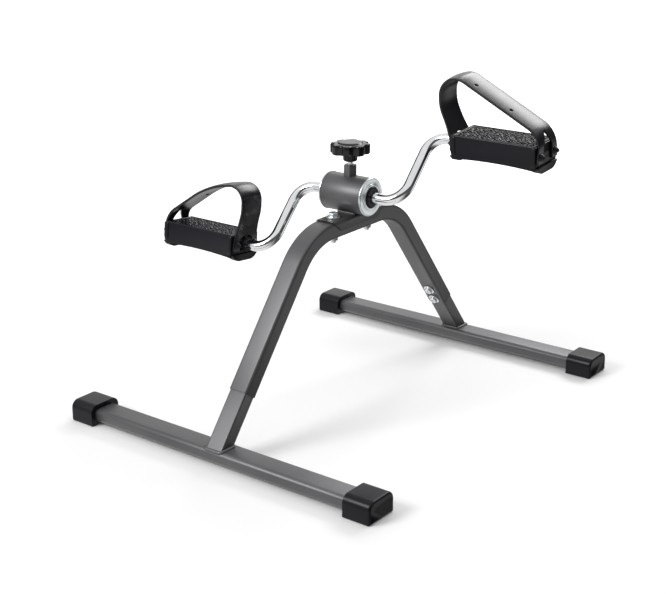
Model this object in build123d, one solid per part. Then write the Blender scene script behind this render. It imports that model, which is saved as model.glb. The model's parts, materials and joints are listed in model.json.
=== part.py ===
"""Pedal exerciser: a bent-tube stand on two floor bars, with a crank, a screw brake and strapped pedals.

Millimetres. X runs along the crank axle, Y from the front bar to the rear bar, Z up.
The origin is on the floor, midway between the bars and midway along them.
"""
import math
import os

from build123d import *

# ---- driving dimensions -------------------------------------------------
BAR_LENGTH = 400.0          # over the end caps
BAR_SPACING = 440.0         # front bar to rear bar, centre to centre
BAR_WIDTH, BAR_HEIGHT, BAR_CORNER, BAR_WALL = 29.0, 14.0, 5.0, 1.5
BAR_LIFT = 4.0              # bar underside above the floor

CAP_LENGTH, CAP_WIDTH, CAP_HEIGHT = 31.6, 40.0, 23.3
CAP_SHOULDER, CAP_END_WALL = 9.0, 3.5

TUBE_WIDTH, TUBE_DEPTH, TUBE_CORNER, TUBE_WALL = 23.5, 18.0, 3.0, 1.0
TUBE_TOP = 214.0            # top face of the bow
BEND_RADIUS = 68.5          # to the middle of the tube
BOW_CORNER = 76.2           # where a leg's line meets the top's line, from the middle
LEG_SLOPE = 52.1            # degrees from the floor
JOINT_HEIGHT = 64.5         # where the bow slips over the foot stubs
STUB_OVERLAP = 48.0         # length of stub inside the bow
STUB_GAP = 0.1              # between stub and bow, each side
LEG_SCREW_STEPS = (9.3, 28.3)   # from the bow's lower end, along the leg

SADDLE_THICKNESS, SADDLE_DROP = 1.5, 10.0
SADDLE_TOP_HALF, SADDLE_LOW_HALF = 46.5, 33.0
HUB_BOLT_Y = 30.4

HUB_RADIUS, HUB_WALL, HUB_HALF = 20.5, 2.5, 26.0
FLANGE_RADIUS, FLANGE_THICKNESS, FLANGE_HOLE = 20.9, 2.2, 12.0
BUSHING_FACE = 30.5         # outer face of the axle bushing, along X
ROD_RADIUS = 6.0
RUNNING_GAP = 0.06          # radial, rod in bushing and in pedal

CRANK_RADIUS, CRANK_ANGLE = 84.5, 47.0
CRANK_PLANE, CRANK_BEND = 67.0, 22.0
SPINDLE_END = 191.0
DRUM_RADIUS, DRUM_HALF = 12.0, 17.5

SHOE_GAP = 0.7              # lining to drum as the knob stands
SHOE_HALF_X, SHOE_HALF_Y = 8.0, 6.5
LINING_THICKNESS, SHOE_THICKNESS = 1.8, 2.0
SCREW_RADIUS = 3.0
BOSS_ACROSS_FLATS, BOSS_TOP = 13.0, 268.0
KNOB_RADIUS, KNOB_LOBES, KNOB_PHASE = 21.5, 8, 25.0
KNOB_BASE, KNOB_STAR, KNOB_TOP = 272.0, 280.5, 293.0

PEDAL_IN, PEDAL_OUT = 104.0, 204.0      # faces of the pedal's end plates, along X
PEDAL_HALF = 21.5
DECK_TOP, DECK_THICKNESS = 11.0, 3.0
PLATE_THICKNESS, PLATE_HALF, PLATE_BOTTOM = 5.0, 22.5, -18.5
LIP_DEPTH, LIP_TOP = 2.2, -11.0
SKIRT_THICKNESS, SKIRT_END, SKIRT_MIDDLE = 2.5, -14.0, -11.8
PEG_Y, PEG_LENGTH = 14.5, 7.5
PEDAL_TILT = {"right": 5.0, "left": -5.5}   # how the loose pedals hang, degrees

STRAP_WIDTH, STRAP_THICKNESS = 32.0, 2.8
STRAP_EYE = 6.2
STRAP_HOLES = (127.0, 168.0)            # along X, in the sloping stretch
STRAP_HOLE_Y = -8.5
# Corners (X, Z, radius) of each strap's middle line between its tabs; the two have set into different curves.
STRAP_CORNERS = {
    "right": [(102.6, 4.0, 20.0), (88.0, 38.0, 38.0), (88.0, 82.6, 20.0), (205.4, 21.6, 24.0)],
    "left": [(102.6, 9.0, 24.0), (95.5, 38.0, 34.0), (95.5, 68.5, 17.0), (148.0, 58.5, 115.0),
             (205.4, 19.0, 22.0)],
}

# ---- worked out from them ----------------------------------------------
BAR_Z = BAR_LIFT + BAR_HEIGHT / 2
BAR_Y = BAR_SPACING / 2
TUBE_Z = TUBE_TOP - TUBE_DEPTH / 2
SLOPE = math.radians(LEG_SLOPE)
SADDLE_TOP = TUBE_TOP + SADDLE_THICKNESS
HUB_Z = SADDLE_TOP + HUB_RADIUS
PEDAL_Y = CRANK_RADIUS * math.cos(math.radians(CRANK_ANGLE))
PEDAL_Z = CRANK_RADIUS * math.sin(math.radians(CRANK_ANGLE))
LINING_RADIUS = DRUM_RADIUS + SHOE_GAP
SCREW_SEAT = HUB_Z + LINING_RADIUS + LINING_THICKNESS + SHOE_THICKNESS - 0.8


def save(name, *solids):
    """Write one node; several solids stay separate inside it."""
    shape = solids[0] if len(solids) == 1 else Compound(children=list(solids))
    export_step(shape, f"parts/{name}.step")


def rod_x(radius, start, end, y=0.0, z=0.0):
    """A round bar along X."""
    return Pos((start + end) / 2, y, z) * Rot(0, 90, 0) * Cylinder(radius, abs(end - start))


def block(x, y, z):
    """A box from three (low, high) pairs."""
    size = [high - low for low, high in (x, y, z)]
    middle = [(high + low) / 2 for low, high in (x, y, z)]
    return Pos(*middle) * Box(*size)


def extrude_x(sketch, start, end):
    """Extrude a sketch drawn in (Y, Z) from one X to another."""
    return Pos(start, 0, 0) * extrude(Plane.YZ * sketch, end - start)


def turned(shape, side):
    """A piece of the stand or the hub: on the left it is the right one turned half a turn about Z."""
    return shape if side == "right" else Rot(0, 0, 180) * shape


def opposite(shape, side):
    """A piece of the crank: on the left it is turned half a turn about the normal of the crank's plane."""
    angle = math.radians(CRANK_ANGLE)
    normal = Axis((0, 0, HUB_Z), (0, -math.sin(angle), math.cos(angle)))
    return shape if side == "right" else shape.rotate(normal, 180)


# ---- stand ---------------------------------------------------------------
def bar_section(grow=0.0):
    return RectangleRounded(BAR_WIDTH + 2 * grow, BAR_HEIGHT + 2 * grow, BAR_CORNER + grow)


def floor_bar(y):
    half = BAR_LENGTH / 2 - CAP_END_WALL
    tube = extrude_x(bar_section() - bar_section(-BAR_WALL), -half, half)
    return Pos(0, y, BAR_Z) * tube


def end_cap(y, side):
    """A moulded cap: flat below, big round shoulders above, with a pocket for the bar."""
    half = CAP_WIDTH / 2
    outline = make_face(Polyline((-half, 0), (half, 0), (half, CAP_HEIGHT), (-half, CAP_HEIGHT), close=True))
    outline = fillet(outline.vertices().sort_by(Axis.Y)[-2:], CAP_SHOULDER)
    outline = fillet(outline.vertices().sort_by(Axis.Y)[:2], 1.5)
    outer = BAR_LENGTH / 2
    body = extrude_x(outline, outer - CAP_LENGTH, outer)
    body = fillet(body.faces().sort_by(Axis.X)[-1].edges(), 2.5)
    pocket = Pos(0, 0, BAR_Z) * extrude_x(bar_section(), outer - CAP_LENGTH - 1, outer - CAP_END_WALL)
    return Pos(0, y, 0) * turned(body - pocket, side)


def tube_section(inset=0.0):
    return RectangleRounded(TUBE_WIDTH - 2 * inset, TUBE_DEPTH - 2 * inset, max(TUBE_CORNER - inset, 0.8))


def leg_plane(side, height):
    """A plane across a leg's centre line, its Z pointing down the leg."""
    y = BOW_CORNER + (TUBE_Z - height) / math.tan(SLOPE)
    down = (0, side * math.cos(SLOPE), -math.sin(SLOPE))
    return Plane(origin=(0, side * y, height), x_dir=(1, 0, 0), z_dir=down)


def bow_route():
    """The bow's centre line: up the front leg, level across the top, down the rear leg."""
    foot = BOW_CORNER + (TUBE_Z - JOINT_HEIGHT) / math.tan(SLOPE)
    corners = [(0, -foot, JOINT_HEIGHT), (0, -BOW_CORNER, TUBE_Z),
               (0, BOW_CORNER, TUBE_Z), (0, foot, JOINT_HEIGHT)]
    return FilletPolyline(*corners, radius=BEND_RADIUS)


def bow():
    """Both legs and the level top, one bent tube."""
    start = leg_plane(-1, JOINT_HEIGHT)
    tube = sweep(start * (tube_section() - tube_section(TUBE_WALL)), path=bow_route())
    holes = [Pos(0, y, TUBE_Z) * Cylinder(SCREW_RADIUS, TUBE_DEPTH + 4) for y in (-HUB_BOLT_Y, HUB_BOLT_Y)]
    for side in (-1, 1):
        holes += [screw_axis(side, step) * Cylinder(2.5, TUBE_DEPTH) for step in LEG_SCREW_STEPS]
    return tube - holes


def screw_axis(side, step):
    """A leg screw's place: on the leg's inner face, Z pointing out of it."""
    height = JOINT_HEIGHT + step * math.sin(SLOPE)
    across = leg_plane(side, height)
    inward = Vector(0, -side * math.sin(SLOPE), -math.cos(SLOPE))
    return Plane(origin=across.origin + inward * (TUBE_DEPTH / 2), x_dir=(1, 0, 0), z_dir=inward)


def foot_stub(side):
    """The short tube welded to a floor bar that goes up inside the bow's leg."""
    inset = TUBE_WALL + STUB_GAP
    section = tube_section(inset) - tube_section(inset + TUBE_WALL)
    reach = STUB_OVERLAP * math.sin(SLOPE)
    top = leg_plane(side, JOINT_HEIGHT + reach)
    tube = extrude(top * section, (JOINT_HEIGHT + reach - BAR_Z) / math.sin(SLOPE))
    solid_bar = Pos(0, side * BAR_Y, BAR_Z) * extrude_x(bar_section(), -40, 40)
    below = block((-40, 40), (side * BAR_Y - 40, side * BAR_Y + 40), (-20, BAR_Z))
    holes = [screw_axis(side, step) * Cylinder(2.5, TUBE_DEPTH) for step in LEG_SCREW_STEPS]
    return (tube - solid_bar - below - holes).solids().sort_by(SortBy.VOLUME)[-1]


def weld_bead(side):
    """The fillet weld around a stub's foot."""
    stub_inset = TUBE_WALL + STUB_GAP
    low = leg_plane(side, BAR_Z - 10)
    stub = extrude(low * tube_section(stub_inset), -40)
    collar = extrude(leg_plane(side, BAR_Z + 11) * tube_section(stub_inset - 0.3), 12, taper=-11)
    bar = Pos(0, side * BAR_Y, BAR_Z) * extrude_x(bar_section(), -40, 40)
    band = block((-30, 30), (side * BAR_Y - 11, side * BAR_Y + 11), (BAR_Z, BAR_Z + 15))
    return ((collar & band) - stub - bar).solids().sort_by(SortBy.VOLUME)[-1]


def leg_screw(side, step):
    place = screw_axis(side, step)
    head = place * Pos(0, 0, 1.2 + 1.6) * Cylinder(4.6, 3.2)
    head = fillet(head.edges().sort_by_distance(place.origin)[-1], 1.4)
    slot = place * Pos(0, 0, 4.0) * Box(5.4, 1.2, 1.6) + place * Pos(0, 0, 4.0) * Box(1.2, 5.4, 1.6)
    shank = place * Pos(0, 0, -3.4) * Cylinder(2.5, 9.2)
    return head - slot + shank


def leg_washer(side, step):
    return screw_axis(side, step) * Pos(0, 0, 0.6) * (Cylinder(6.8, 1.2) - Cylinder(2.5, 2))


def leg_insert(side, step):
    """A threaded insert fixed inside the stub, behind each screw."""
    depth = 2 * TUBE_WALL + STUB_GAP
    return screw_axis(side, step) * Pos(0, 0, -depth - 2.4) * (Cylinder(4.4, 4.8) - Cylinder(2.5, 6))


# ---- saddle and hub ------------------------------------------------------
def saddle():
    """A pressed channel over the bow's top, its ends cut back below."""
    half = TUBE_WIDTH / 2 + SADDLE_THICKNESS
    low = SADDLE_TOP - SADDLE_THICKNESS - SADDLE_DROP
    side = make_face(Polyline((-SADDLE_TOP_HALF, SADDLE_TOP), (SADDLE_TOP_HALF, SADDLE_TOP),
                              (SADDLE_LOW_HALF, low), (-SADDLE_LOW_HALF, low), close=True))
    body = extrude_x(side, -half, half)
    edges = body.edges().filter_by(Axis.Y).group_by(Axis.Z)[-1]
    body = fillet(edges, TUBE_CORNER + SADDLE_THICKNESS)
    body -= sweep(leg_plane(-1, JOINT_HEIGHT) * tube_section(), path=bow_route())
    body -= block((-TUBE_WIDTH / 2, TUBE_WIDTH / 2), (-60, 60), (low - 5, TUBE_Z + 2))
    body -= [Pos(0, y, SADDLE_TOP) * Cylinder(SCREW_RADIUS, 10) for y in (-HUB_BOLT_Y, HUB_BOLT_Y)]
    return body.solids().sort_by(SortBy.VOLUME)[-1]


def hexagon(across_flats):
    return RegularPolygon(across_flats / math.sqrt(3), 6)


def hub_bolt(y):
    low = TUBE_TOP - TUBE_DEPTH - 8
    shank = Pos(0, y, (low + SADDLE_TOP + 2) / 2) * Cylinder(SCREW_RADIUS, SADDLE_TOP + 2 - low)
    head = Pos(0, y, SADDLE_TOP + 1.6) * extrude(hexagon(10), 4.2)
    head = chamfer(head.faces().sort_by(Axis.Z)[-1].edges(), 0.5)
    return head + shank


def hub_bolt_washer(y):
    return Pos(0, y, SADDLE_TOP + 0.8) * (Cylinder(7.4, 1.6) - Cylinder(SCREW_RADIUS, 3))


def hub_nut(y):
    under = TUBE_TOP - TUBE_DEPTH
    return Pos(0, y, under - 5.2) * (extrude(hexagon(10), 5.2) - Cylinder(SCREW_RADIUS, 20))


def hub_shell():
    """The painted barrel that holds the axle, open at both ends, drilled for the brake screw."""
    barrel = rod_x(HUB_RADIUS, -HUB_HALF, HUB_HALF) - rod_x(HUB_RADIUS - HUB_WALL, -HUB_HALF - 1, HUB_HALF + 1)
    barrel -= Pos(0, 0, HUB_RADIUS) * Cylinder(SCREW_RADIUS + 1.5, 20)
    return Pos(0, 0, HUB_Z) * barrel


def hub_weld(side):
    """The weld between the barrel and the saddle, one bead on each side."""
    bead = block((-10.5, 10.5), sorted((side * 3.0, side * 9.5)), (SADDLE_TOP, SADDLE_TOP + 3))
    bead -= Pos(0, 0, HUB_Z) * rod_x(HUB_RADIUS, -30, 30)
    wedge = bead.edges().filter_by(Axis.X).sort_by(lambda edge: abs(edge.center().Y) + edge.center().Z)[-1]
    return chamfer(wedge, 1.6)


def hub_flange(side):
    """A bright pressed end cup: a dished rim outside and a spigot inside the barrel."""
    plate = rod_x(FLANGE_RADIUS, HUB_HALF, HUB_HALF + FLANGE_THICKNESS)
    plate = fillet(plate.edges().sort_by(Axis.X)[-1], 1.4)
    spigot = rod_x(HUB_RADIUS - HUB_WALL - 0.1, HUB_HALF - 5, HUB_HALF)
    collar = rod_x(FLANGE_HOLE + 2.5, HUB_HALF, HUB_HALF + FLANGE_THICKNESS + 1.0)
    cup = plate + spigot + collar - rod_x(FLANGE_HOLE, 0, 60)
    return Pos(0, 0, HUB_Z) * turned(cup, side)


def axle_bushing(side):
    """The black moulded bush in each end cup that the crank turns in."""
    body = rod_x(FLANGE_HOLE, HUB_HALF - 6, BUSHING_FACE) - rod_x(ROD_RADIUS + RUNNING_GAP, 0, 60)
    rim = body.edges().filter_by(GeomType.CIRCLE).group_by(Axis.X)[-1].sort_by(lambda edge: edge.length)[-1]
    return Pos(0, 0, HUB_Z) * turned(chamfer(rim, 1.2), side)


def tension_boss():
    """The hexagon boss that the brake screw threads through, seated on the barrel."""
    base = HUB_Z + HUB_RADIUS - 4
    prism = Pos(0, 0, base) * extrude(hexagon(BOSS_ACROSS_FLATS), BOSS_TOP - base)
    prism = chamfer(prism.faces().sort_by(Axis.Z)[-1].edges(), 0.6)
    prism -= Pos(0, 0, HUB_Z) * rod_x(HUB_RADIUS, -30, 30)
    return prism - Pos(0, 0, BOSS_TOP) * Cylinder(SCREW_RADIUS + RUNNING_GAP, 80)


# ---- crank ---------------------------------------------------------------
def crank_point(x, along):
    """A point of the right-hand crank: X, and the distance out along the arm."""
    return (x, PEDAL_Y * along, HUB_Z + PEDAL_Z * along)


def crank_rod(side):
    """One bent rod: half the axle, the arm and the pedal's spindle."""
    corners = [crank_point(0.3, 0), crank_point(CRANK_PLANE, 0),
               crank_point(CRANK_PLANE, 1), crank_point(SPINDLE_END, 1)]
    route = FilletPolyline(*corners, radius=CRANK_BEND)
    section = Plane(origin=corners[0], z_dir=(1, 0, 0)) * Circle(ROD_RADIUS)
    rod = sweep(section, path=route) - drum_pin("right")
    return opposite(rod, side)


def drum_pin(side):
    """The cross pin that locks a rod in the drum."""
    pin = Pos(9.0, 0, HUB_Z) * Rot(CRANK_ANGLE, 0, 0) * Rot(90, 0, 0) * Cylinder(2.0, 2 * DRUM_RADIUS - 1.5)
    return opposite(pin, side)


def friction_drum():
    """The sleeve that joins the two rods and that the brake rubs on."""
    sleeve = rod_x(DRUM_RADIUS, -DRUM_HALF, DRUM_HALF, z=HUB_Z) - rod_x(ROD_RADIUS, -60, 60, z=HUB_Z)
    return sleeve - drum_pin("right") - drum_pin("left")


def spindle_washer(side):
    """The thrust washer on the rod, inboard of the pedal."""
    ring = rod_x(8.6, 98.2, 99.8) - rod_x(ROD_RADIUS, 90, 110)
    return opposite(Pos(0, PEDAL_Y, HUB_Z + PEDAL_Z) * ring, side)


def spindle_cap(side):
    """The push-on cap that holds the pedal on, hidden under the deck."""
    cup = rod_x(7.6, SPINDLE_END - 5.0, SPINDLE_END + 1.5) - rod_x(ROD_RADIUS, 150, SPINDLE_END)
    return opposite(Pos(0, PEDAL_Y, HUB_Z + PEDAL_Z) * cup, side)


# ---- brake and knob --------------------------------------------------------
def brake_layer(inner, thickness):
    """A curved pad above the drum, between two radii."""
    ring = rod_x(inner + thickness, -SHOE_HALF_X, SHOE_HALF_X) - rod_x(inner, -30, 30)
    window = block((-20, 20), (-SHOE_HALF_Y, SHOE_HALF_Y), (0, 40))
    return Pos(0, 0, HUB_Z) * (ring & window)


def brake_shoe():
    """The steel shoe, with a shallow seat for the brake screw's end."""
    seat = Pos(0, 0, SCREW_SEAT + 10) * Cylinder(SCREW_RADIUS + RUNNING_GAP, 20)
    return brake_layer(LINING_RADIUS + LINING_THICKNESS, SHOE_THICKNESS) - seat


def tension_screw():
    top = KNOB_STAR + 5
    return Pos(0, 0, (SCREW_SEAT + top) / 2) * Cylinder(SCREW_RADIUS, top - SCREW_SEAT)


def tension_knob():
    """An eight-lobed star on a round neck, with a raised middle."""
    star = extrude(Circle(KNOB_RADIUS), KNOB_TOP - KNOB_STAR - 1.5)
    step = 360 / KNOB_LOBES
    for turn in range(KNOB_LOBES):
        angle = math.radians(KNOB_PHASE + step * (turn + 0.5))
        reach = KNOB_RADIUS + 2.4
        star -= Pos(reach * math.cos(angle), reach * math.sin(angle), 0) * Cylinder(4.6, 40)
    star = Pos(0, 0, KNOB_STAR) * star
    neck = Pos(0, 0, KNOB_BASE) * extrude(Circle(7.8), KNOB_STAR - KNOB_BASE + 2)
    neck = chamfer(neck.edges().sort_by(Axis.Z)[0], 1.5)
    crown = Pos(0, 0, KNOB_TOP - 3) * extrude(Circle(13.5), 3)
    crown = chamfer(crown.edges().sort_by(Axis.Z)[-1], 1.2)
    return star + neck + crown - tension_screw()


# ---- pedals: drawn about the spindle's axis, with X as on the right --------
def hang(shape, side):
    """Turn a pedal's piece to its side, tilt it about its spindle and put it on its crank."""
    sign = 1 if side == "right" else -1
    spindle = Pos(0, sign * PEDAL_Y, HUB_Z + sign * PEDAL_Z)
    return spindle * Rot(PEDAL_TILT[side], 0, 0) * turned(shape, side)


def end_plate_outline():
    face = make_face(Polyline((-PLATE_HALF, DECK_TOP), (PLATE_HALF, DECK_TOP),
                              (PLATE_HALF, PLATE_BOTTOM), (-PLATE_HALF, PLATE_BOTTOM), close=True))
    face = fillet(face.vertices().sort_by(Axis.Y)[:2], 14.0)
    return fillet(face.vertices().sort_by(Axis.Y)[-2:], 2.0)


def peg(x, y, outward):
    """A waisted peg with a cone head that a strap's eye pushes over."""
    neck = rod_x(2.5, x, x + outward * (STRAP_THICKNESS + 0.4), y=y)
    head = Cone(4.2, 1.2, PEG_LENGTH - STRAP_THICKNESS - 0.4)
    middle = x + outward * (PEG_LENGTH + STRAP_THICKNESS + 0.4) / 2
    return neck + Pos(middle, y, 0) * Rot(0, 90 * outward, 0) * head


def skirt(y):
    span = (PEDAL_IN + 1, (PEDAL_IN + PEDAL_OUT) / 2, PEDAL_OUT - 1)
    outline = Polyline((span[0], SKIRT_END), (span[0], DECK_TOP - 1), (span[2], DECK_TOP - 1), (span[2], SKIRT_END))
    arch = ThreePointArc((span[2], SKIRT_END), (span[1], SKIRT_MIDDLE), (span[0], SKIRT_END))
    wall = extrude(Plane.XZ * make_face(outline + arch), SKIRT_THICKNESS / 2, both=True)
    return Pos(0, y, 0) * wall


def pedal_body():
    """The moulded pedal: deck, skirts, end plates with lips and pegs, and the spindle's tube."""
    deck = block((PEDAL_IN + 1, PEDAL_OUT - 1), (-PEDAL_HALF, PEDAL_HALF), (DECK_TOP - DECK_THICKNESS, DECK_TOP))
    wall_y = PEDAL_HALF - SKIRT_THICKNESS / 2
    body = deck + skirt(-wall_y) + skirt(wall_y)
    lip = end_plate_outline() & (Pos(0, LIP_TOP - 10) * Rectangle(60, 20))
    for face, outward in ((PEDAL_IN, -1), (PEDAL_OUT, 1)):
        body += extrude_x(end_plate_outline(), face - outward * PLATE_THICKNESS, face)
        body += extrude_x(lip, face, face + outward * LIP_DEPTH)
        body += [peg(face, y, outward) for y in (-PEG_Y, PEG_Y)]
    body += rod_x(8.4, PEDAL_IN + 2, SPINDLE_END - 7)
    for x in (PEDAL_IN + 34, PEDAL_IN + 68):
        body += block((x - 1, x + 1), (-PEDAL_HALF + 1, PEDAL_HALF - 1), (-9, DECK_TOP - 1))
    return body - rod_x(ROD_RADIUS + RUNNING_GAP, 50, SPINDLE_END - 6)


def strap(side):
    """A rubber toe strap: a band over the foot with an eyed tab at one end and a forked one at the other."""
    half = STRAP_THICKNESS / 2
    corners = [(PEDAL_IN - half, -1.0), *[(x, z) for x, z, _ in STRAP_CORNERS[side]], (PEDAL_OUT + half, -1.0)]
    route = FilletPolyline(*[(x, 0, z) for x, z in corners], radius=[r for _, _, r in STRAP_CORNERS[side]])
    start = Plane(origin=(PEDAL_IN - half, 0, -1.0), x_dir=(1, 0, 0), z_dir=(0, 0, 1))
    band = sweep(start * Rectangle(STRAP_THICKNESS, STRAP_WIDTH), path=route)
    for x in STRAP_HOLES:
        band -= Pos(x, STRAP_HOLE_Y, 52) * Cylinder(2.0, 60)
    tab = Rectangle(STRAP_WIDTH + 4, 2.0)
    for y in (-PEG_Y, PEG_Y):
        tab += Pos(y, 0) * Circle(STRAP_EYE)
    for x in (PEDAL_IN - STRAP_THICKNESS, PEDAL_OUT):
        band += extrude_x(tab, x, x + STRAP_THICKNESS)
        for y in (-PEG_Y, PEG_Y):
            band -= rod_x(3.0, x - 5, x + 8, y=y)
    band -= rod_x(9.2, PEDAL_IN - 8, PEDAL_IN + 8)
    band -= block((PEDAL_IN - 8, PEDAL_IN + 8), (-9.2, 9.2), (-20, 0))
    window = make_face(Polyline((-9.5, -12), (9.5, -12), (8.5, 9), (0, 24), (-8.5, 9), close=True))
    return band - extrude_x(fillet(window.vertices().sort_by(Axis.Y)[-3:], 2.0), PEDAL_OUT - 14, PEDAL_OUT + 8)


def build():
    os.makedirs("parts", exist_ok=True)
    for name, sign in (("front", -1), ("rear", 1)):
        save(f"{name}_floor_bar", floor_bar(sign * BAR_Y))
        save(f"{name}_leg_stub", foot_stub(sign))
        for side in ("left", "right"):
            save(f"{name}_cap_{side}", end_cap(sign * BAR_Y, side))
    save("leg_bow", bow())
    save("stub_welds", weld_bead(-1), weld_bead(1))
    spots = [(sign, step) for sign in (-1, 1) for step in LEG_SCREW_STEPS]
    save("leg_screws", *[leg_screw(*spot) for spot in spots])
    save("leg_washers", *[leg_washer(*spot) for spot in spots])
    save("leg_inserts", *[leg_insert(*spot) for spot in spots])

    ends = (-HUB_BOLT_Y, HUB_BOLT_Y)
    save("saddle_bracket", saddle())
    save("hub_bolts", *[hub_bolt(y) for y in ends])
    save("hub_bolt_washers", *[hub_bolt_washer(y) for y in ends])
    save("hub_nuts", *[hub_nut(y) for y in ends])
    save("hub_shell", hub_shell())
    save("hub_welds", hub_weld(-1), hub_weld(1))
    save("tension_boss", tension_boss())
    for side in ("left", "right"):
        save(f"hub_flange_{side}", hub_flange(side))
        save(f"axle_bushing_{side}", axle_bushing(side))
        save(f"crank_rod_{side}", crank_rod(side))
        save(f"spindle_washer_{side}", spindle_washer(side))
        save(f"spindle_cap_{side}", spindle_cap(side))
        save(f"pedal_{side}", hang(pedal_body(), side))
        save(f"strap_{side}", hang(strap(side), side))
    save("friction_drum", friction_drum())
    save("drum_pins", drum_pin("left"), drum_pin("right"))
    save("brake_shoe", brake_shoe())
    save("brake_lining", brake_layer(LINING_RADIUS, LINING_THICKNESS))
    save("tension_screw", tension_screw())
    save("tension_knob", tension_knob())


build()
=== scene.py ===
# %% [markdown]
# # Pedal exerciser
# A bent-tube stand on two floor bars, a crank with strapped pedals, and a screw brake under a star knob.
# The measured model is loaded first and stays fixed. Each cell then gives one group of pieces its finish,
# and where the measured solid is too plain, a more detailed piece takes its place and rides on the same
# body.

import json
import math
from bisect import bisect_right

import bmesh
import bpy
from mathutils import Matrix, Quaternion, Vector
from mathutils.geometry import delaunay_2d_cdt
from mathutils.kdtree import KDTree


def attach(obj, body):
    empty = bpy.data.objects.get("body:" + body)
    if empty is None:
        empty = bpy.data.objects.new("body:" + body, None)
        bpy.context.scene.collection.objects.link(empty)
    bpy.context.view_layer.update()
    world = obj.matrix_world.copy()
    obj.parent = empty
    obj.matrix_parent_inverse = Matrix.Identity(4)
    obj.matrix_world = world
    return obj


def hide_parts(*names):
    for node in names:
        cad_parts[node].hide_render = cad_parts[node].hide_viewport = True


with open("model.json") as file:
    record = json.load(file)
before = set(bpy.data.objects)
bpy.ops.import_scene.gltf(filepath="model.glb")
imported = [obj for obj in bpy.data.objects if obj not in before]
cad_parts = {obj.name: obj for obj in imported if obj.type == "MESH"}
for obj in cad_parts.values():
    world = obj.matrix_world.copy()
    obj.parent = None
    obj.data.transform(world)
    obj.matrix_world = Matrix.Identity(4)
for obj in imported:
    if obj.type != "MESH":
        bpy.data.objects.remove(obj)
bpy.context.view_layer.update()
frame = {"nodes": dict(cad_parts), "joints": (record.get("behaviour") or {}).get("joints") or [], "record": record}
MM = 0.001
JOINTS = {joint["name"]: joint for joint in frame["joints"]}
BODY_OF = {node: body for body, nodes in frame["record"]["behaviour"]["bodies"].items() for node in nodes}
SLOT_OF = {part["node"]: part["material_slot"] for part in frame["record"]["subparts"]}
SIDES = ("right", "left")

# %% [markdown]
# ## The camera
# The camera is made early, so that every later piece can be judged from it. It stands a metre and a half
# off, a little above the knob, and looks across the near corner with a short telephoto lens.

# %% Camera
AZIMUTH, ELEVATION, ROLL = map(math.radians, (37.15, 19.47, -0.15))
camera = bpy.data.objects.new("camera", bpy.data.cameras.new("camera"))
bpy.context.scene.collection.objects.link(camera)
bpy.context.scene.camera = camera
camera.data.lens = 73.244
camera.data.sensor_width = 36.0
camera.data.clip_start = 0.05
back = Vector((math.sin(AZIMUTH) * math.cos(ELEVATION),
               -math.cos(AZIMUTH) * math.cos(ELEVATION), math.sin(ELEVATION)))
camera.location = Vector((-0.0360, 0.01974, 0.1)) + back * 1.5577
camera.rotation_mode = "QUATERNION"
camera.rotation_quaternion = (-back).to_track_quat("-Z", "Y") @ Quaternion((0, 0, 1), ROLL)
print("camera at", [round(value, 3) for value in camera.location])

# %% [markdown]
# ## A shorthand for nodes
# Node graphs read best as sums. `Wire` wraps an output socket, so that `1 - mask * 0.3` adds the Math
# nodes it needs. `Graph.add` makes any other node from its type, its settings and its inputs. The same
# two serve shader trees and geometry trees.

# %% Wire and Graph
class Wire:
    """An output socket that arithmetic can be done on."""

    def __init__(self, graph, socket):
        self.graph, self.socket = graph, socket

    def math(self, operation, *others):
        return self.graph.add(self.graph.math_node, {"operation": operation}, self, *others)

    def __add__(self, other):
        return self.math("ADD", other)

    def __sub__(self, other):
        return self.math("SUBTRACT", other)

    def __rsub__(self, other):
        return self.graph.add(self.graph.math_node, {"operation": "SUBTRACT"}, other, self)

    def __mul__(self, other):
        return self.math("MULTIPLY", other)

    def __truediv__(self, other):
        return self.math("DIVIDE", other)

    __radd__, __rmul__ = __add__, __mul__


class Graph:
    """A node tree and one way to add to it."""

    math_node = "ShaderNodeMath"

    def __init__(self, tree):
        self.tree = tree

    def add(self, kind, settings=None, *values, out=0, **named):
        node = self.tree.nodes.new(kind)
        for key, value in (settings or {}).items():
            setattr(node, key, value)
        pairs = list(enumerate(values)) + [(key.replace("_", " "), value) for key, value in named.items()]
        for key, value in pairs:
            if isinstance(value, Wire):
                self.tree.links.new(value.socket, node.inputs[key])
            elif value is not None:
                node.inputs[key].default_value = value
        return Wire(self, node.outputs[out])

    def ramp(self, value, low, high):
        """0 below low, 1 above high, smooth between."""
        settings = {"interpolation_type": "SMOOTHSTEP"}
        return self.add("ShaderNodeMapRange", settings, value, low, high, 0.0, 1.0)

    def mix(self, factor, first, second):
        """Between two colours."""
        node = self.tree.nodes.new("ShaderNodeMix")
        node.data_type = "RGBA"
        for index, value in ((0, factor), (6, first), (7, second)):
            if isinstance(value, Wire):
                self.tree.links.new(value.socket, node.inputs[index])
            else:
                node.inputs[index].default_value = value if index == 0 else (*value, 1.0)
        return Wire(self, node.outputs[2])


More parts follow.
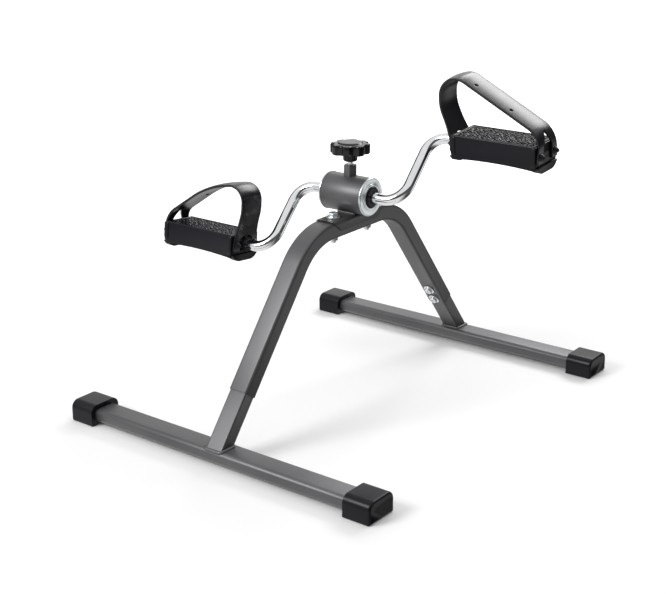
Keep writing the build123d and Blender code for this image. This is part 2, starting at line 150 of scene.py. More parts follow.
class Finish(Graph):
    """A material under construction: Object coordinates in, one Principled surface out."""

    def __init__(self, name, **uniform):
        self.material = bpy.data.materials.new(name)
        self.material.use_nodes = True
        super().__init__(self.material.node_tree)
        self.surface = self.tree.nodes["Principled BSDF"]
        self.place = self.add("ShaderNodeTexCoord", out="Object")
        for key, value in uniform.items():
            self.surface.inputs[key.replace("_", " ")].default_value = value

    def noise(self, scale, detail=2.0, roughness=0.5, place=None):
        return self.add("ShaderNodeTexNoise", None, Vector=place or self.place, Scale=scale, Detail=detail,
                        Roughness=roughness)

    def stretch(self, x, y, z):
        """Object coordinates stretched, for grain that runs one way."""
        return self.add("ShaderNodeVectorMath", {"operation": "MULTIPLY"}, self.place, (x, y, z))

    def feed(self, **wires):
        for key, wire in wires.items():
            self.tree.links.new(wire.socket, self.surface.inputs[key.replace("_", " ")])
        return self

    def bump(self, height, depth, strength=1.0):
        """Raise the surface by a wire of 0 to 1, depth metres high."""
        wire = self.add("ShaderNodeBump", None, Strength=strength, Distance=depth, Height=height)
        return self.feed(Normal=wire)


# %% [markdown]
# ## Painted steel
# The stand is sprayed and baked charcoal grey. Such paint holds fine metal flake, so it is half metallic,
# and it dries with a faint orange-peel skin. The skin is about a millimetre across and a few hundredths
# deep, so it only breaks up the highlights. A slow, wide noise keeps long tubes from looking like one
# flat colour.

# %% Paint
def charcoal_paint():
    paint = Finish("charcoal_paint", Metallic=0.6, Coat_Weight=0.1, Coat_Roughness=0.25)
    cloud = paint.noise(9.0, 3.0)
    flake = paint.noise(5200.0, 1.0)
    tone = paint.ramp(cloud * 0.7 + flake * 0.3, 0.35, 0.65)
    paint.feed(Base_Color=paint.mix(tone, (0.100, 0.101, 0.105), (0.134, 0.135, 0.139)),
               Roughness=0.36 + cloud * 0.10 + flake * 0.06)
    paint.bump(paint.noise(850.0, 2.0), 0.00006, 0.5)
    return paint.material


# %% [markdown]
# ## Plated and bare metal
# Zinc plate is bright but never a mirror: it has soft patches and a fine tumbled grain. Chrome is nearly
# a mirror, and only a faint smear in its roughness keeps it from looking computed. The turned steel
# inside the hub has rings from the lathe, which run round the X axis.

# %% Metals
def zinc_plate():
    zinc = Finish("zinc_plate", Metallic=0.9)
    patch = zinc.noise(260.0, 4.0, 0.6)
    grain = zinc.noise(3200.0, 2.0)
    zinc.feed(Base_Color=zinc.mix(patch, (0.70, 0.74, 0.76), (0.92, 0.94, 0.95)),
              Roughness=0.22 + patch * 0.16)
    zinc.bump(grain, 0.00003, 0.5)
    return zinc.material


def bright_chrome():
    chrome = Finish("bright_chrome", Metallic=1.0)
    smear = chrome.noise(70.0, 5.0, 0.65)
    chrome.feed(Base_Color=chrome.mix(smear, (0.72, 0.73, 0.75), (0.90, 0.91, 0.92)),
                Roughness=0.045 + smear * 0.07)
    chrome.bump(chrome.noise(420.0, 2.0), 0.00001, 0.3)
    return chrome.material


def turned_steel():
    steel = Finish("turned_steel", Metallic=1.0)
    rings = steel.noise(1.0, 2.0, 0.5, steel.stretch(4200.0, 12.0, 12.0))
    steel.feed(Base_Color=steel.mix(rings, (0.36, 0.36, 0.37), (0.56, 0.56, 0.57)),
               Roughness=0.28 + rings * 0.18)
    steel.bump(rings, 0.00003, 0.6)
    return steel.material


# %% [markdown]
# ## Moulded black parts
# Caps, knob, pedals and straps are all black, but they don't shine alike. The knob is glossy, the caps
# and pedals are semi-gloss with the fine spark texture of the mould, and the straps are soft rubber with
# a leathery grain that breaks the highlight into specks. One function makes them all, and takes the gloss
# and grain of each.

# %% Plastics and rubber
def moulded_black(name, dark, light, gloss, grain_size, grain_depth, shine):
    """gloss is the roughness at its shiniest, grain sizes are in metres, shine is the specular level."""
    black = Finish(name, Specular_IOR_Level=shine)
    cloud = black.noise(38.0, 3.0)
    grain = black.noise(0.5 / grain_size, 3.0, 0.6)
    black.feed(Base_Color=black.mix(cloud, dark, light), Roughness=gloss + cloud * 0.10 + grain * 0.06)
    black.bump(grain, grain_depth, 0.6)
    return black.material


def woven_lining():
    lining = Finish("woven_lining")
    thread = lining.noise(1.0, 2.0, 0.5, lining.stretch(2600.0, 700.0, 700.0))
    lining.feed(Base_Color=lining.mix(thread, (0.13, 0.085, 0.055), (0.30, 0.21, 0.14)),
                Roughness=0.72 + thread * 0.15)
    lining.bump(thread, 0.0001, 0.8)
    return lining.material


FINISHES = {
    "frame_paint": charcoal_paint(),
    "bright_zinc": zinc_plate(),
    "rod_chrome": bright_chrome(),
    "plain_steel": turned_steel(),
    "brake_lining": woven_lining(),
    "cap_plastic": moulded_black("cap_black", (0.004, 0.004, 0.006), (0.008, 0.009, 0.012), 0.22,
                                 0.0007, 0.00004, 0.2),
    "knob_plastic": moulded_black("knob_black", (0.003, 0.003, 0.004), (0.006, 0.006, 0.008), 0.12,
                                  0.0012, 0.00002, 0.4),
    "pedal_plastic": moulded_black("pedal_black", (0.004, 0.004, 0.007), (0.008, 0.009, 0.013), 0.24,
                                   0.0008, 0.00004, 0.22),
    "strap_rubber": moulded_black("strap_black", (0.004, 0.004, 0.007), (0.008, 0.009, 0.013), 0.20,
                                  0.0006, 0.00005, 0.45),
}
print("finishes:", sorted(FINISHES))

# %% [markdown]
# ## Carrying the measured pieces over
# Sheet, tube and turned pieces already have their true shape. What they lack is the small radius that
# every real edge has, and which catches the light. A copy of each is welded into one skin, its flat faces
# are joined up again, and a narrow bevel rounds what is sharper than 32 degrees. The copy then replaces
# the plain solid.

# %% A helper that adopts a finished piece
def adopt(piece, *nodes):
    """Let a finished piece stand for measured nodes, on their body and with their finish."""
    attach(piece, BODY_OF[nodes[0]])
    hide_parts(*nodes)
    if not piece.data.materials:
        piece.data.materials.append(FINISHES[SLOT_OF[nodes[0]]])
    return piece


def new_piece(name, mesh):
    piece = bpy.data.objects.new(name, mesh)
    bpy.context.scene.collection.objects.link(piece)
    return piece


def settle(piece, sharp=32.0):
    """Bake a piece's modifiers into its mesh, and shade it smooth except at sharp edges."""
    bpy.context.view_layer.update()
    evaluated = piece.evaluated_get(bpy.context.evaluated_depsgraph_get())
    mesh = bpy.data.meshes.new_from_object(evaluated)
    piece.modifiers.clear()
    piece.data = mesh
    mesh.polygons.foreach_set("use_smooth", [True] * len(mesh.polygons))
    mesh.set_sharp_from_angle(angle=math.radians(sharp))
    return piece


def bevel(piece, width, segments=2, angle=32.0):
    rounding = piece.modifiers.new("edge_radius", "BEVEL")
    rounding.width = width
    rounding.segments = segments
    rounding.limit_method = "ANGLE"
    rounding.angle_limit = math.radians(angle)
    rounding.use_clamp_overlap = True
    return piece


def carried(node, edge):
    """A welded, bevelled copy of a measured node; edge is the radius of its corners."""
    source = frame["nodes"][node].data
    skin = bmesh.new()
    skin.from_mesh(source)
    bmesh.ops.remove_doubles(skin, verts=skin.verts, dist=2e-6)
    bmesh.ops.dissolve_limit(skin, angle_limit=math.radians(0.5), verts=skin.verts, edges=skin.edges)
    mesh = bpy.data.meshes.new(node + "_skin")
    skin.to_mesh(mesh)
    skin.free()
    mesh.materials.clear()
    piece = new_piece(node + "_skin", mesh)
    if edge:
        bevel(piece, edge)
    return adopt(settle(piece), node)


EDGES = {"floor_bar": 0.3, "cap_": 0.0, "leg_stub": 0.2, "leg_bow": 0.25, "saddle_bracket": 0.4,
         "hub_shell": 0.4, "hub_flange": 0.2, "axle_bushing": 0.3, "tension_boss": 0.3,
         "spindle_washer": 0.3, "friction_drum": 0.3, "brake_shoe": 0.2, "brake_lining": 0.2,
         "drum_pins": 0.2, "leg_inserts": 0.2, "spindle_cap": 0.3, "tension_screw": 0.2,
         "leg_screws": 0.2, "leg_washers": 0.25, "hub_bolts": 0.25, "hub_bolt_washers": 0.3,
         "hub_nuts": 0.3, "pedal_": 0.45}
for node in sorted(frame["nodes"]):
    kinds = [kind for kind in EDGES if kind in node]
    if kinds:
        carried(node, EDGES[kinds[-1]] * MM)

# %% [markdown]
# ## Crank rods
# Each rod is one length of 12 mm bar, bent twice with the same radius. A Geometry Nodes tree takes the
# four corners, rounds them with Fillet Curve and sweeps a circle along the result. The left rod is the
# right one turned half a turn about the line square to the crank's plane, so the two arms point opposite
# ways.

# %% Rods
HUB = Vector(JOINTS["crank_spin"]["pos_m"])
SPINDLE = {side: Vector(JOINTS[side + "_pedal_spin"]["pos_m"]) for side in SIDES}
ARM = (SPINDLE["right"] - HUB) * Vector((0, 1, 1))
ROD_RADIUS, ROD_BEND = 6.0 * MM, 22.0 * MM
ROD_START, ARM_X, ROD_END = 0.3 * MM, 67.0 * MM, 191.0 * MM


def open_tree(name, *inputs):
    """A geometry tree with named number inputs; gives the graph, the incoming mesh and the inputs."""
    tree = bpy.data.node_groups.new(name, "GeometryNodeTree")
    tree.interface.new_socket("Geometry", in_out="INPUT", socket_type="NodeSocketGeometry")
    for label in inputs:
        tree.interface.new_socket(label, in_out="INPUT", socket_type="NodeSocketFloat")
    tree.interface.new_socket("Geometry", in_out="OUTPUT", socket_type="NodeSocketGeometry")
    graph = Graph(tree)
    given = tree.nodes.new("NodeGroupInput")
    return graph, *(Wire(graph, given.outputs[index]) for index in range(len(inputs) + 1))


def close_tree(graph, result, slot):
    """End a geometry tree: real geometry, with the slot's finish on it."""
    real = graph.add("GeometryNodeRealizeInstances", None, Geometry=result)
    coated = graph.add("GeometryNodeSetMaterial", None, Geometry=real, Material=FINISHES[slot])
    end = graph.tree.nodes.new("NodeGroupOutput")
    graph.tree.links.new(coated.socket, end.inputs[0])
    return graph.tree


def bent_bar_tree():
    """Corners in, bent round bar out."""
    graph, corners, radius, bend = open_tree("bent_bar", "Radius", "Bend")
    line = graph.add("GeometryNodeMeshToCurve", None, Mesh=corners)
    route = graph.add("GeometryNodeFilletCurve", {"mode": "POLY"}, Curve=line, Count=26, Radius=bend)
    ring = graph.add("GeometryNodeCurvePrimitiveCircle", None, Resolution=64, Radius=radius)
    bar = graph.add("GeometryNodeCurveToMesh", None, Curve=route, Profile_Curve=ring, Fill_Caps=True)
    solid = graph.add("GeometryNodeMergeByDistance", None, Geometry=bar, Distance=0.000001)
    return close_tree(graph, solid, "rod_chrome")


def grown(name, mesh, tree, **inputs):
    """A mesh put through a Geometry Nodes tree."""
    piece = new_piece(name, mesh)
    growth = piece.modifiers.new("growth", "NODES")
    growth.node_group = tree
    for item in tree.interface.items_tree:
        if item.item_type == "SOCKET" and item.name in inputs:
            growth[item.identifier] = inputs[item.name]
    return piece


bent_bar = bent_bar_tree()
half_turn = Matrix.Translation(HUB) @ Matrix.Rotation(math.pi, 4, Vector((0, -ARM.z, ARM.y))) @ \
    Matrix.Translation(-HUB)
for side in SIDES:
    line = bpy.data.meshes.new("rod_line_" + side)
    corners = [HUB + Vector((ROD_START, 0, 0)), HUB + Vector((ARM_X, 0, 0)),
               HUB + ARM + Vector((ARM_X, 0, 0)), HUB + ARM + Vector((ROD_END, 0, 0))]
    line.from_pydata(corners, [(0, 1), (1, 2), (2, 3)], [])
    if side == "left":
        line.transform(half_turn)
    rod = grown("crank_rod_" + side + "_bent", line, bent_bar, Radius=ROD_RADIUS, Bend=ROD_BEND)
    adopt(settle(rod, 40.0), "crank_rod_" + side)
print("rods:", [round(value, 4) for value in ARM])

# %% [markdown]
# ## Weld beads
# A weld is a row of small puddles, each frozen over the last, so its surface is rippled. One Geometry
# Nodes tree sweeps a circle along a path and swells it a little at every puddle. At each stub's foot the
# path runs round the tube and follows the bar's rounded shoulder; under the barrel it is two straight
# runs.

# %% Welds
BAR_Y, BAR_TOP, BAR_FLAT, BAR_CORNER = 220.0, 18.0, 9.5, 5.0
STUB_HALF_X, STUB_HALF_Y, STUB_MIDDLE = 10.65, 10.0, 221.8


def bead_tree():
    graph, path, radius, pitch = open_tree("weld_bead", "Radius", "Pitch")
    line = graph.add("GeometryNodeMeshToCurve", None, Mesh=path)
    even = graph.add("GeometryNodeResampleCurve", {"mode": "LENGTH"}, Curve=line, Length=0.00035)
    along = graph.add("GeometryNodeSplineParameter", out="Length")
    ripple = (along * math.tau / pitch).math("SINE")
    swollen = graph.add("GeometryNodeSetCurveRadius", None, Curve=even, Radius=ripple * 0.17 + 1.0)
    ring = graph.add("GeometryNodeCurvePrimitiveCircle", None, Resolution=20, Radius=radius)
    bead = graph.add("GeometryNodeCurveToMesh", None, Curve=swollen, Profile_Curve=ring, Fill_Caps=True)
    return close_tree(graph, bead, "frame_paint")


def bar_height(y):
    """The floor bar's upper surface at a distance y from the middle of the stand."""
    over = abs(y - BAR_Y) - BAR_FLAT
    if over <= 0:
        return BAR_TOP
    return BAR_TOP - BAR_CORNER + math.sqrt(max(BAR_CORNER ** 2 - min(over, BAR_CORNER) ** 2, 0.0))


def foot_path(sign, grow=0.5, corner=3.5):
    """Points round a stub's foot, on the bar."""
    points = []
    for index in range(96):
        angle = math.tau * index / 96
        reach_x, reach_y = STUB_HALF_X + grow - corner, STUB_HALF_Y + grow - corner
        x = math.copysign(reach_x, math.cos(angle)) + corner * math.cos(angle)
        y = math.copysign(reach_y, math.sin(angle)) + corner * math.sin(angle)
        points.append((x * MM, sign * (STUB_MIDDLE + y) * MM, bar_height(STUB_MIDDLE + y) * MM))
    return points


def barrel_path(sign):
    return [(x * MM, sign * 7.6 * MM, 216.2 * MM) for x in (-10.5, -3.5, 3.5, 10.5)]


weld_bead = bead_tree()
for node, paths, closed, size in (("stub_welds", [foot_path(1), foot_path(-1)], True, 2.1),
                                  ("hub_welds", [barrel_path(1), barrel_path(-1)], False, 1.9)):
    mesh = bpy.data.meshes.new(node + "_path")
    points, edges = [], []
    for path in paths:
        first, count = len(points), len(path)
        points += path
        links = count if closed else count - 1
        edges += [(first + index, first + (index + 1) % count) for index in range(links)]
    mesh.from_pydata(points, edges, [])
    adopt(settle(grown(node + "_bead", mesh, weld_bead, Radius=size * MM, Pitch=2.8 * MM), 70.0), node)
print("welds laid")

# %% [markdown]
# ## The knob
# An eight-lobed star. Its outline is a circle bitten by eight smaller circles, with the corners rolled
# over. The outline is stacked in rings: a plain round neck, the flat underside of the star, its upright
# sides, a rolled top edge, and a domed middle that fades from the star to a circle.

# %% Knob
KNOB_RADIUS, KNOB_LOBES, KNOB_PHASE = 21.5, 8, math.radians(25.0)
BITE_RADIUS, BITE_REACH = 5.4, 23.5


def star_radius(angle):
    """The star's edge in millimetres, seen from above."""
    step = math.tau / KNOB_LOBES
    off = (angle - KNOB_PHASE) % step - step / 2
    inside = BITE_RADIUS ** 2 - (BITE_REACH * math.sin(off)) ** 2
    bitten = BITE_REACH * math.cos(off) - math.sqrt(inside) if inside > 0 else KNOB_RADIUS + 3
    blend = 2.2
    mix = max(0.0, min(1.0, 0.5 + (bitten - KNOB_RADIUS) / (2 * blend)))
    return bitten + (KNOB_RADIUS - bitten) * mix - blend * mix * (1 - mix)


def knob_mesh(around=256):
    """Rings of (height, inset from the star's edge or fixed radius, share of star)."""
    low, middle, top = 272.0, 280.5, 293.0
    rings = [(low, 3.2, 0), (low, 6.4, 0), (low + 0.5, 7.2, 0), (low + 1.4, 7.8, 0), (middle - 2.2, 7.9, 0),
             (middle - 1.0, 8.6, 0), (middle - 0.2, 10.5, 0), (middle, 12.0, 0.2), (middle, 1.4, 1),
             (middle + 0.25, 0.7, 1), (middle + 0.8, 0.15, 1), (middle + 1.6, 0.0, 1), (top - 3.6, 0.0, 1),
             (top - 2.7, 0.18, 1), (top - 2.05, 0.6, 1), (top - 1.65, 1.3, 1), (top - 1.5, 2.2, 1),
             (top - 1.45, 13.9, 0), (top - 1.35, 13.5, 0), (top - 0.5, 13.0, 0), (top - 0.15, 12.4, 0),
             (top, 11.4, 0), (top, 6.0, 0), (top - 0.1, 0.6, 0)]
    mesh = bmesh.new()
    loops = []
    for height, size, share in rings:
        loop = []
        for index in range(around):
            angle = math.tau * index / around
            reach = share * (star_radius(angle) - size) + (1 - share) * size
            spot = Vector((reach * math.cos(angle), reach * math.sin(angle), height)) * MM
            loop.append(mesh.verts.new(spot))
        loops.append(loop)
    for lower, upper in zip(loops, loops[1:]):
        for index in range(around):
            after = (index + 1) % around
            mesh.faces.new((lower[index], lower[after], upper[after], upper[index]))
    mesh.faces.new(loops[-1])
    mesh.faces.new(list(reversed(loops[0])))
    bmesh.ops.recalc_face_normals(mesh, faces=mesh.faces)
    data = bpy.data.meshes.new("tension_knob_star")
    mesh.to_mesh(data)
    mesh.free()
    return data


adopt(settle(new_piece("tension_knob_star", knob_mesh()), 50.0), "tension_knob")

# %% [markdown]
# ## The pedals' tread
# The moulded body comes from the measured solid. Its deck gets a tread: a fine grid that Geometry Nodes
# raises into pebbles about 4 mm across and 0.85 mm high, with a smooth raised border round them. Pebbles
# are Voronoi cells, whose distance to their own edge gives each one a rolled rim and a groove beside its
# neighbours.

# %% Tread
PEDAL_TILT = {"right": math.radians(5.0), "left": math.radians(-5.5)}
PEDAL_MIDDLE, DECK_TOP, TREAD_SIZE = 154.0, 11.0, (97.6, 42.6)


def pedal_frame(side):
    """From a pedal's own axes, drawn as on the right and in metres, to its place on the crank."""
    half_way = Matrix.Rotation(0.0 if side == "right" else math.pi, 4, "Z")
    spindle = SPINDLE[side] * Vector((0, 1, 1))
    return Matrix.Translation(spindle) @ Matrix.Rotation(PEDAL_TILT[side], 4, "X") @ half_way


def tread_tree(seed=7.0):
    graph, _, length, width, pebble, height, border = open_tree(
        "pebbled_tread", "Length", "Width", "Pebble", "Height", "Border")
    sheet = graph.add("GeometryNodeMeshGrid", None, Size_X=length, Size_Y=width, Vertices_X=293,
                      Vertices_Y=129)
    spot = graph.add("GeometryNodeInputPosition")
    x, y, _ = (graph.add("ShaderNodeSeparateXYZ", None, spot, out=index) for index in range(3))
    end_gap = length * 0.5 - x.math("ABSOLUTE")
    side_gap = width * 0.5 - y.math("ABSOLUTE")
    gap = end_gap.math("MINIMUM", side_gap)
    shift = graph.add("ShaderNodeVectorMath", {"operation": "ADD"}, spot, (seed, 0.0, 0.0))
    cells = graph.add("ShaderNodeTexVoronoi", {"feature": "DISTANCE_TO_EDGE", "voronoi_dimensions": "2D"},
                      Vector=shift, Scale=graph.add("ShaderNodeMath", {"operation": "DIVIDE"}, 1.0, pebble),
                      Randomness=0.85, out="Distance")
    bumps = graph.ramp(cells, 0.02, 0.30)
    field = graph.ramp(gap, border * 1.15, border * 1.6)
    rim = graph.ramp(gap, border * 0.02, border * 0.35) - graph.ramp(gap, border * 0.75, border * 1.1)
    skirt = graph.ramp(gap, border * -0.01, border * 0.015)
    rise = height * (bumps * field + rim * 1.1) + (skirt - 1.0) * 0.0008
    lift = graph.add("ShaderNodeCombineXYZ", None, 0.0, 0.0, rise)
    relief = graph.add("GeometryNodeSetPosition", None, Geometry=sheet, Offset=lift)
    return close_tree(graph, relief, "pedal_plastic")


pebbled_tread = tread_tree()
for side in SIDES:
    tread = grown("tread_" + side, bpy.data.meshes.new("tread_" + side), pebbled_tread,
                  Length=TREAD_SIZE[0] * MM, Width=TREAD_SIZE[1] * MM, Pebble=3.9 * MM,
                  Height=0.85 * MM, Border=2.6 * MM)
    settle(tread, 60.0)
    on_deck = Matrix.Translation(Vector((PEDAL_MIDDLE, 0, DECK_TOP + 0.05)) * MM)
    tread.data.transform(pedal_frame(side) @ on_deck)
    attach(tread, side + "_pedal")
print("tread faces:", len(tread.data.polygons))

# %% [markdown]
# ## The straps
# A strap is cut flat and then bent, here as in life. Its outline, eyes, forked window and two small holes
# are drawn flat, in millimetres along and across the band, and filled with an even mesh. Each point then
# goes to its place on the side view of that strap, the skin is thickened, and its edges are rounded. The
# band is slightly crowned across, and it flares toward the pedal at both ends.

# %% Strap outlines and routes
STRAP_THICKNESS = 2.8
EYE_RADIUS, PEG_ACROSS = 3.0, 14.5
STRAP_HOLES, STRAP_HOLE_ACROSS, STRAP_HOLE_RADIUS = (127.0, 168.0), -8.5, 1.9
CROWN = 1.3                                    # how far the band's middle stands proud of its edges
TAIL = 7.2                                     # how far the tabs hang below the pegs' line
STRAP_CORNERS = {
    "right": [(102.6, -TAIL, 0), (102.6, 4.0, 20.0), (88.0, 38.0, 38.0), (88.0, 82.6, 20.0),
              (205.4, 21.6, 24.0), (205.4, -TAIL, 0)],
    "left": [(102.6, -TAIL, 0), (102.6, 9.0, 24.0), (95.5, 38.0, 34.0), (95.5, 68.5, 17.0),
             (148.0, 58.5, 115.0), (205.4, 19.0, 22.0), (205.4, -TAIL, 0)]}


def rounded_route(corners, step=0.25):
    """Points a quarter of a millimetre or less apart, along straight runs joined by arcs."""
    points = [Vector(corners[0][:2])]
    for before, corner, after in zip(corners, corners[1:], corners[2:]):
        middle = Vector(corner[:2])
        arriving = (middle - Vector(before[:2])).normalized()
        leaving = (Vector(after[:2]) - middle).normalized()
        turn = arriving.angle_signed(leaving)
        reach = corner[2] * math.tan(abs(turn) / 2)
        first = middle - arriving * reach
        across = Vector((arriving.y, -arriving.x)) * (1 if turn > 0 else -1)
        centre = first + across * corner[2]
        for index in range(41):
            spoke = first - centre
            spoke.rotate(Matrix.Rotation(-turn * index / 40, 2))
            points.append(centre + spoke)
    points.append(Vector(corners[-1][:2]))
    spaced = [points[0]]
    for start, end in zip(points, points[1:]):
        count = max(1, math.ceil((end - start).length / step))
        spaced += [start.lerp(end, (index + 1) / count) for index in range(count)]
    return [point for index, point in enumerate(spaced)
            if index == 0 or (point - spaced[index - 1]).length > 1e-6]


def circle_loop(along, across, radius, count=28):
    angles = [math.tau * index / count for index in range(count)]
    return [(along + radius * math.cos(angle), across + radius * math.sin(angle)) for angle in angles]


def evenly(corners, step=1.3):
    """A closed loop with a point at least every step."""
    loop = []
    for start, end in zip(corners, corners[1:] + corners[:1]):
        gap = Vector(end) - Vector(start)
        count = max(1, round(gap.length / step))
        loop += [tuple(Vector(start) + gap * index / count) for index in range(count)]
    return loop


def rounded_loop(corners, radius):
    """A closed polygon with every corner rounded."""
    loop = []
    for before, corner, after in zip(corners[-1:] + corners[:-1], corners, corners[1:] + corners[:1]):
        here, back, ahead = Vector(corner), Vector(before), Vector(after)
        cut = min(radius, (back - here).length * 0.45, (ahead - here).length * 0.45)
        start, end = here + (back - here).normalized() * cut, here + (ahead - here).normalized() * cut
        for index in range(9):
            share = index / 8
            loop.append(tuple(start.lerp(here, share).lerp(here.lerp(end, share), share)))
    return evenly(loop)


def half_width(along, length):
    """Half the band's width: 16 mm, flaring to 20.4 within 34 mm of either end."""
    near = min(along, length - along) / 34.0
    flare = max(0.0, 1.0 - near)
    return 16.0 + 4.4 * flare * flare * (3 - 2 * flare)


def strap_loops(length):
    """The outline and what is cut from it, as (along, across) points."""
    runs = [length * index / 40 for index in range(41)]
    edge = [(along, half_width(along, length)) for along in runs]
    outline = rounded_loop([(along, across) for along, across in edge] +
                           [(along, -across) for along, across in reversed(edge)], 4.5)
    cuts = [circle_loop(spot, sign * PEG_ACROSS, EYE_RADIUS)
            for spot in (TAIL, length - TAIL) for sign in (1, -1)]
    notch = rounded_loop([(-2.0, -9.4), (TAIL + 7.0, -9.4), (TAIL + 9.6, -5.0), (TAIL + 10.6, 0.0),
                          (TAIL + 9.6, 5.0), (TAIL + 7.0, 9.4), (-2.0, 9.4)], 1.6)
    fork = rounded_loop([(length + 2.0, -9.6), (length - TAIL - 9.0, -9.0), (length - TAIL - 25.0, 0.0),
                         (length - TAIL - 9.0, 9.0), (length + 2.0, 9.6)], 2.6)
    return outline, cuts, notch, fork


def inside(point, loop):
    """Even-odd test of a point against a closed loop."""
    x, y = point
    hit = False
    for (ax, ay), (bx, by) in zip(loop, loop[1:] + loop[:1]):
        if (ay > y) != (by > y) and x < (bx - ax) * (y - ay) / (by - ay) + ax:
            hit = not hit
    return hit


# %% Bending the straps
def flat_skin(outline, cuts, notch, fork, pitch=1.15):
    """A triangle mesh of the flat band, even enough to bend and to bevel."""
    half = max(across for _, across in outline)
    length = max(along for along, _ in outline)
    holes = [*cuts, notch, fork]

    def solid(point):
        return inside(point, outline) and not any(inside(point, hole) for hole in holes)

    points, edges = [], []
    for loop in [outline, *holes]:
        first = len(points)
        points += [Vector(point) for point in loop]
        edges += [(first + index, first + (index + 1) % len(loop)) for index in range(len(loop))]
    border = kd_tree(points)
    for row in range(int(length / pitch) + 1):
        for column in range(-int(half / pitch) - 1, int(half / pitch) + 2):
            spot = Vector(((row + 0.5) * pitch, (column + 0.5 * (row % 2)) * pitch))
            if solid(spot) and border.find(spot.to_3d())[2] > 0.75:
                points.append(spot)
    verts, _, faces, *_ = delaunay_2d_cdt(points, edges, [], 0, 1e-5)
    centres = [sum((verts[index] for index in face), Vector((0, 0))) / len(face) for face in faces]
    return verts, [face for face, centre in zip(faces, centres) if solid(centre)]


def kd_tree(points):
    tree = KDTree(len(points))
    for index, point in enumerate(points):
        tree.insert(point.to_3d(), index)
    tree.balance()
    return tree


def bent_strap(side):
    """The flat band laid along its side view, thickened and with rounded edges."""
    route = rounded_route(STRAP_CORNERS[side])
    marks = [0.0]
    for start, end in zip(route, route[1:]):
        marks.append(marks[-1] + (end - start).length)
    length = marks[-1]
    outline, cuts, notch, fork = strap_loops(length)
    for x in STRAP_HOLES:
        along = next(mark for mark, point in zip(marks, route) if point.x >= x)
        cuts.append(circle_loop(along, STRAP_HOLE_ACROSS, STRAP_HOLE_RADIUS, 20))
    verts, faces = flat_skin(outline, cuts, notch, fork)
    mesh = bmesh.new()
    points = []
    for along, across in verts:
        index = min(max(bisect_right(marks, along), 1), len(marks) - 1)
        share = (along - marks[index - 1]) / (marks[index] - marks[index - 1])
        spot = route[index - 1].lerp(route[index], share)
        ahead = (route[min(index + 8, len(route) - 1)] - route[max(index - 9, 0)]).normalized()
        outward = Vector((-ahead.y, ahead.x))
        ends = min(1.0, min(along, length - along) / 30.0)
        crown = CROWN * ends * (1 - (across / half_width(along, length)) ** 2)
        spot = spot + outward * crown
        points.append(mesh.verts.new((spot.x * MM, across * MM, spot.y * MM)))
    for face in faces:
        mesh.faces.new([points[index] for index in face])
    loose = [vert for vert in mesh.verts if not vert.link_faces]
    bmesh.ops.delete(mesh, geom=loose, context="VERTS")
    bmesh.ops.recalc_face_normals(mesh, faces=mesh.faces)
    data = bpy.data.meshes.new("strap_bent_" + side)
    mesh.to_mesh(data)
    mesh.free()
    data.transform(pedal_frame(side))
    piece = new_piece("strap_bent_" + side, data)
    skin = piece.modifiers.new("thickness", "SOLIDIFY")
    skin.thickness, skin.offset = STRAP_THICKNESS * MM, 0.0
    rounding = bevel(piece, 0.55 * MM, 3, 60.0).modifiers["edge_radius"]
    rounding.use_clamp_overlap = False
    return settle(piece, 60.0)


for side in SIDES:
    adopt(bent_strap(side), "strap_" + side)
print("straps bent")

# %% [markdown]
# ## Floor and light
# A plain white sweep fades to pure white. Black plastic, chrome and dark paint show little but what they
# reflect, so the surroundings are mostly dark, with a large bright ceiling behind the stand and a smaller
# bright patch to the front left. A lamp in that patch throws the soft shadows backwards; one behind the
# stand lights level tops.

# %% Floor, lamp and surroundings
def white_floor(size=40.0, albedo=0.86):
    """A white sweep that glows a little far from the stand, where the lamps don't reach."""
    mesh = bpy.data.meshes.new("floor")
    half = size / 2
    mesh.from_pydata([(-half, -half, 0), (half, -half, 0), (half, half, 0), (-half, half, 0)], [],
                     [(0, 1, 2, 3)])
    sweep = Finish("white_sweep", Base_Color=(albedo, albedo, albedo, 1.0), Roughness=0.95,
                   Emission_Strength=1.0)
    away = sweep.add("ShaderNodeVectorMath", {"operation": "LENGTH"}, sweep.place, out="Value")
    fade = sweep.ramp(away, 0.35, 1.1)
    sweep.feed(Emission_Color=sweep.mix(fade, (0.0, 0.0, 0.0), (0.5, 0.5, 0.5)))
    mesh.materials.append(sweep.material)
    floor = new_piece("floor", mesh)
    return floor


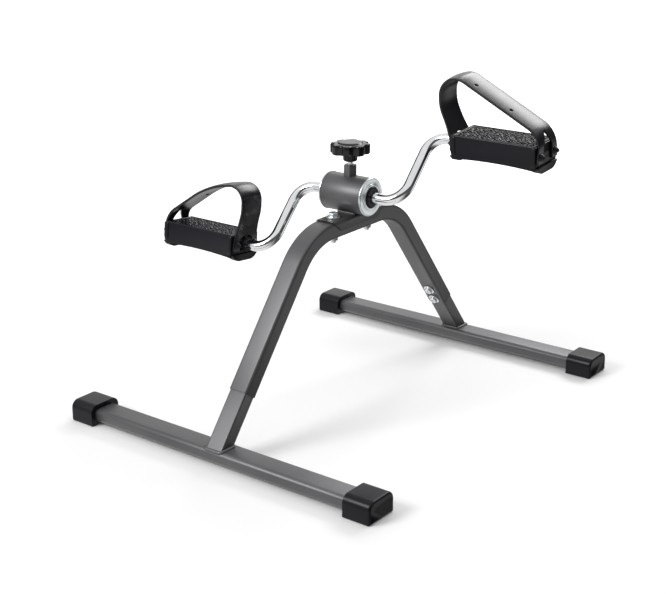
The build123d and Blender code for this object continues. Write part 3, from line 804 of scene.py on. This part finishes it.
def soft_light(name, place, target, size, power):
    lamp = bpy.data.objects.new(name, bpy.data.lights.new(name, "AREA"))
    bpy.context.scene.collection.objects.link(lamp)
    lamp.location = place
    lamp.rotation_euler = (Vector(target) - Vector(place)).to_track_quat("-Z", "Y").to_euler()
    lamp.data.shape = "RECTANGLE"
    lamp.data.size, lamp.data.size_y = size
    lamp.data.energy = power
    return lamp


floor = white_floor()
floor.visible_glossy = False
floor.visible_diffuse = False
soft_light("key_light", (-0.75, -1.7, 1.35), (0, 0, 0.15), (0.8, 0.8), 25.0)
soft_light("back_light", (-0.05, 1.75, 1.55), (0, 0, 0.25), (1.4, 0.8), 25.0)

world = bpy.data.worlds.new("studio")
bpy.context.scene.world = world
world.use_nodes = True
sky = Graph(world.node_tree)
direction = sky.add("ShaderNodeTexCoord", out="Generated")
height = sky.add("ShaderNodeSeparateXYZ", None, direction, out=2)


def toward(x, y, z):
    """How nearly a ray points one way: 1 straight at it, 0 square to it."""
    aim = Vector((x, y, z)).normalized()
    return sky.add("ShaderNodeVectorMath", {"operation": "DOT_PRODUCT"}, direction, aim, out="Value")


ceiling = sky.ramp(height, 0.45, 0.62)
front_patch = sky.ramp(toward(-0.6, -0.7, 0.35), 0.86, 0.95)
low_back = sky.ramp(toward(-0.57, 0.75, 0.33), 0.93, 0.99)
side_patch = sky.ramp(toward(0.57, 0.75, -0.33), 0.95, 0.985)
ground = sky.ramp(height, 0.0, -0.16) * (1.0 - sky.ramp(toward(0.8, 0.6, 0.0), 0.1, 0.7))
glow = 0.09 + ceiling * 0.78 + front_patch * 0.6 + low_back * 1.2 + side_patch * 0.95 + ground * 0.80
camera_ray = sky.add("ShaderNodeLightPath", out="Is Camera Ray")
backdrop = world.node_tree.nodes["Background"]
backdrop.inputs["Color"].default_value = (1.0, 1.0, 1.0, 1.0)
seen = glow * (1.0 - camera_ray) + camera_ray * 1.05
world.node_tree.links.new(seen.socket, backdrop.inputs["Strength"])
bpy.context.scene.view_settings.view_transform = "Standard"
